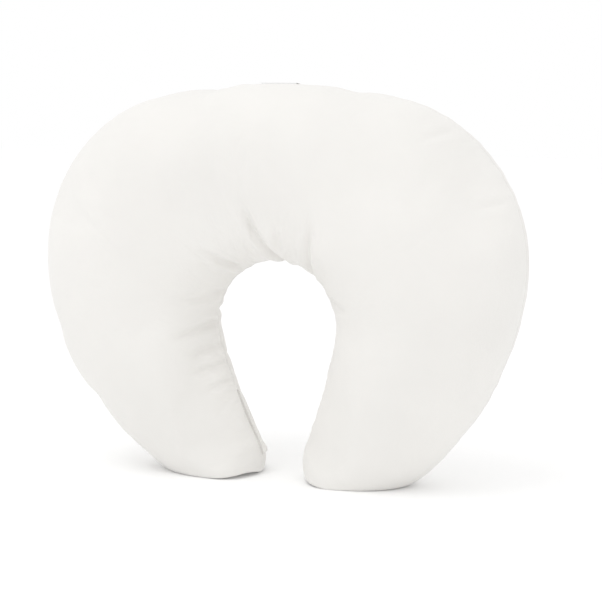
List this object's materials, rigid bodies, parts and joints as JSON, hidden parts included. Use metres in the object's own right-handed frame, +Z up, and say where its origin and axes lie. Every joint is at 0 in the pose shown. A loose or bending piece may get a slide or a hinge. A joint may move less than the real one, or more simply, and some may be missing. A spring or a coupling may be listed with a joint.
{
  "type": "nursing pillow",
  "caption": "Bare C-shaped nursing pillow: two sewn cloth panels stuffed with fibre, standing on its leg tips, with a blank care label.",
  "frame": {"origin": "on the floor, midway between the two legs and midway between front and back", "axes": "+Z up; +X along the pillow's width; the front panel faces -Y and the seam lies in the XZ plane"},
  "size_m": [0.5134, 0.1502, 0.4058],
  "materials": {
    "panel_cloth": "matte",
    "polyester_fibre": "matte",
    "sewing_thread": "satin",
    "label_ribbon": "satin"
  },
  "bodies": {
    "pillow": {"front_panel": "panel_cloth", "back_panel": "panel_cloth", "fibre_fill": "polyester_fibre", "seam_needle_thread": "sewing_thread", "seam_bobbin_thread": "sewing_thread", "overlock_thread": "sewing_thread", "closing_stitches": "sewing_thread", "care_label_tail": "label_ribbon"},
    "label": {"care_label": "label_ribbon"}
  },
  "joints": [
    {"name": "label_swing", "type": "hinge", "parent": "pillow", "child": "label", "pos_m": [0, 0, 0.4055], "axis": [1, 0, 0], "range_deg": [0, 150]}
  ]
}
